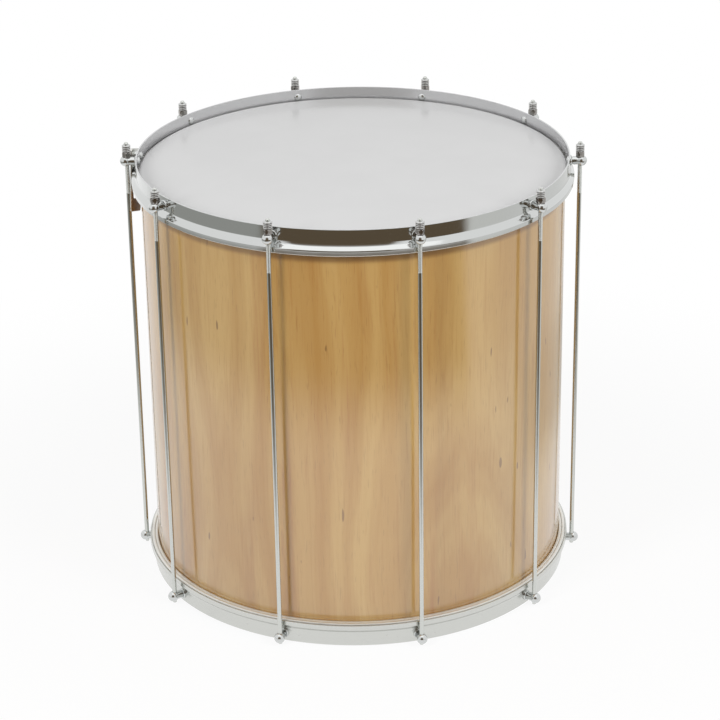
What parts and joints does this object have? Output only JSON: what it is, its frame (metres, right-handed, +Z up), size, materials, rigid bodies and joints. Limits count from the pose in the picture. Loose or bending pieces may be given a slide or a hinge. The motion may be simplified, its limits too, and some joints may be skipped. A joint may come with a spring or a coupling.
{
  "type": "surdo drum",
  "caption": "Wooden bass drum with a film head at each end, flanged counterhoops, straight tension rods with ball lugs and ringed nuts, and a hanging strap plate.",
  "frame": {"origin": "on the drum's axis, level with the floor it stands on", "axes": "+Z up along the drum's axis to the batter head, -Y towards the viewer of the picture, +X to their right"},
  "size_m": [0.4996, 0.4814, 0.4832],
  "materials": {
    "shell": "satin lacquer",
    "ring": "raw",
    "head": "gloss film",
    "flesh_hoop": "mill",
    "batter_hoop": "mirror",
    "bottom_hoop": "dull",
    "lug": "mirror",
    "rod": "mirror",
    "nut": "mirror",
    "bracket": "satin"
  },
  "bodies": {
    "drum": {"shell": "shell", "batter_reinforcement_ring": "ring", "batter_head": "head", "batter_flesh_hoop": "flesh_hoop", "bottom_reinforcement_ring": "ring", "bottom_head": "head", "bottom_flesh_hoop": "flesh_hoop", "bottom_hoop": "bottom_hoop", "lower_lug_1": "lug", "lower_lug_2": "lug", "lower_lug_3": "lug", "lower_lug_4": "lug", "lower_lug_5": "lug", "lower_lug_6": "lug", "lower_lug_7": "lug", "lower_lug_8": "lug", "lower_lug_9": "lug", "lower_lug_10": "lug", "tension_rod_1": "rod", "tension_rod_2": "rod", "tension_rod_3": "rod", "tension_rod_4": "rod", "tension_rod_5": "rod", "tension_rod_6": "rod", "tension_rod_7": "rod", "tension_rod_8": "rod", "tension_rod_9": "rod", "tension_rod_10": "rod"},
    "batter_hoop_assembly": {"batter_hoop": "batter_hoop", "upper_lug_1": "lug", "upper_lug_2": "lug", "upper_lug_3": "lug", "upper_lug_4": "lug", "upper_lug_5": "lug", "upper_lug_6": "lug", "upper_lug_7": "lug", "upper_lug_8": "lug", "upper_lug_9": "lug", "upper_lug_10": "lug", "strap_bracket_bolt": "lug", "strap_bracket_spacer": "lug"},
    "strap_plate": {"strap_bracket": "bracket"},
    "nut_1": {"tension_nut_1": "nut"},
    "nut_2": {"tension_nut_2": "nut"},
    "nut_3": {"tension_nut_3": "nut"},
    "nut_4": {"tension_nut_4": "nut"},
    "nut_5": {"tension_nut_5": "nut"},
    "nut_6": {"tension_nut_6": "nut"},
    "nut_7": {"tension_nut_7": "nut"},
    "nut_8": {"tension_nut_8": "nut"},
    "nut_9": {"tension_nut_9": "nut"},
    "nut_10": {"tension_nut_10": "nut"}
  },
  "joints": [
    {"name": "batter_hoop_lift", "type": "slide", "parent": "drum", "child": "batter_hoop_assembly", "axis": [0, 0, 1], "range_m": [0, 0.0035]},
    {"name": "strap_plate_swing", "type": "hinge", "parent": "batter_hoop_assembly", "child": "strap_plate", "pos_m": [-0.2361, 0.02836, 0.461], "axis": [-0.9929, 0.1193, 0], "range_deg": [-35, 11]},
    {"name": "nut_turn_1", "type": "hinge", "parent": "batter_hoop_assembly", "child": "nut_1", "pos_m": [0.06536, -0.23332, 0.4727], "axis": [0, 0, 1], "range_deg": [-10, 1200]},
    {"name": "nut_turn_2", "type": "hinge", "parent": "batter_hoop_assembly", "child": "nut_2", "pos_m": [0.19002, -0.15034, 0.4727], "axis": [0, 0, 1], "range_deg": [-10, 1200]},
    {"name": "nut_turn_3", "type": "hinge", "parent": "batter_hoop_assembly", "child": "nut_3", "pos_m": [0.2421, -0.00993, 0.4727], "axis": [0, 0, 1], "range_deg": [-10, 1200]},
    {"name": "nut_turn_4", "type": "hinge", "parent": "batter_hoop_assembly", "child": "nut_4", "pos_m": [0.2017, 0.13426, 0.4727], "axis": [0, 0, 1], "range_deg": [-10, 1200]},
    {"name": "nut_turn_5", "type": "hinge", "parent": "batter_hoop_assembly", "child": "nut_5", "pos_m": [0.08426, 0.22718, 0.4727], "axis": [0, 0, 1], "range_deg": [-10, 1200]},
    {"name": "nut_turn_6", "type": "hinge", "parent": "batter_hoop_assembly", "child": "nut_6", "pos_m": [-0.06536, 0.23332, 0.4727], "axis": [0, 0, 1], "range_deg": [-10, 1200]},
    {"name": "nut_turn_7", "type": "hinge", "parent": "batter_hoop_assembly", "child": "nut_7", "pos_m": [-0.19002, 0.15034, 0.4727], "axis": [0, 0, 1], "range_deg": [-10, 1200]},
    {"name": "nut_turn_8", "type": "hinge", "parent": "batter_hoop_assembly", "child": "nut_8", "pos_m": [-0.2421, 0.00993, 0.4727], "axis": [0, 0, 1], "range_deg": [-10, 1200]},
    {"name": "nut_turn_9", "type": "hinge", "parent": "batter_hoop_assembly", "child": "nut_9", "pos_m": [-0.2017, -0.13426, 0.4727], "axis": [0, 0, 1], "range_deg": [-10, 1200]},
    {"name": "nut_turn_10", "type": "hinge", "parent": "batter_hoop_assembly", "child": "nut_10", "pos_m": [-0.08426, -0.22718, 0.4727], "axis": [0, 0, 1], "range_deg": [-10, 1200]}
  ],
  "couplings": [
    {"joint": "nut_turn_1", "follows": "batter_hoop_lift", "rad_per_m": 5936.9},
    {"joint": "nut_turn_2", "follows": "batter_hoop_lift", "rad_per_m": 5936.9},
    {"joint": "nut_turn_3", "follows": "batter_hoop_lift", "rad_per_m": 5936.9},
    {"joint": "nut_turn_4", "follows": "batter_hoop_lift", "rad_per_m": 5936.9},
    {"joint": "nut_turn_5", "follows": "batter_hoop_lift", "rad_per_m": 5936.9},
    {"joint": "nut_turn_6", "follows": "batter_hoop_lift", "rad_per_m": 5936.9},
    {"joint": "nut_turn_7", "follows": "batter_hoop_lift", "rad_per_m": 5936.9},
    {"joint": "nut_turn_8", "follows": "batter_hoop_lift", "rad_per_m": 5936.9},
    {"joint": "nut_turn_9", "follows": "batter_hoop_lift", "rad_per_m": 5936.9},
    {"joint": "nut_turn_10", "follows": "batter_hoop_lift", "rad_per_m": 5936.9}
  ]
}
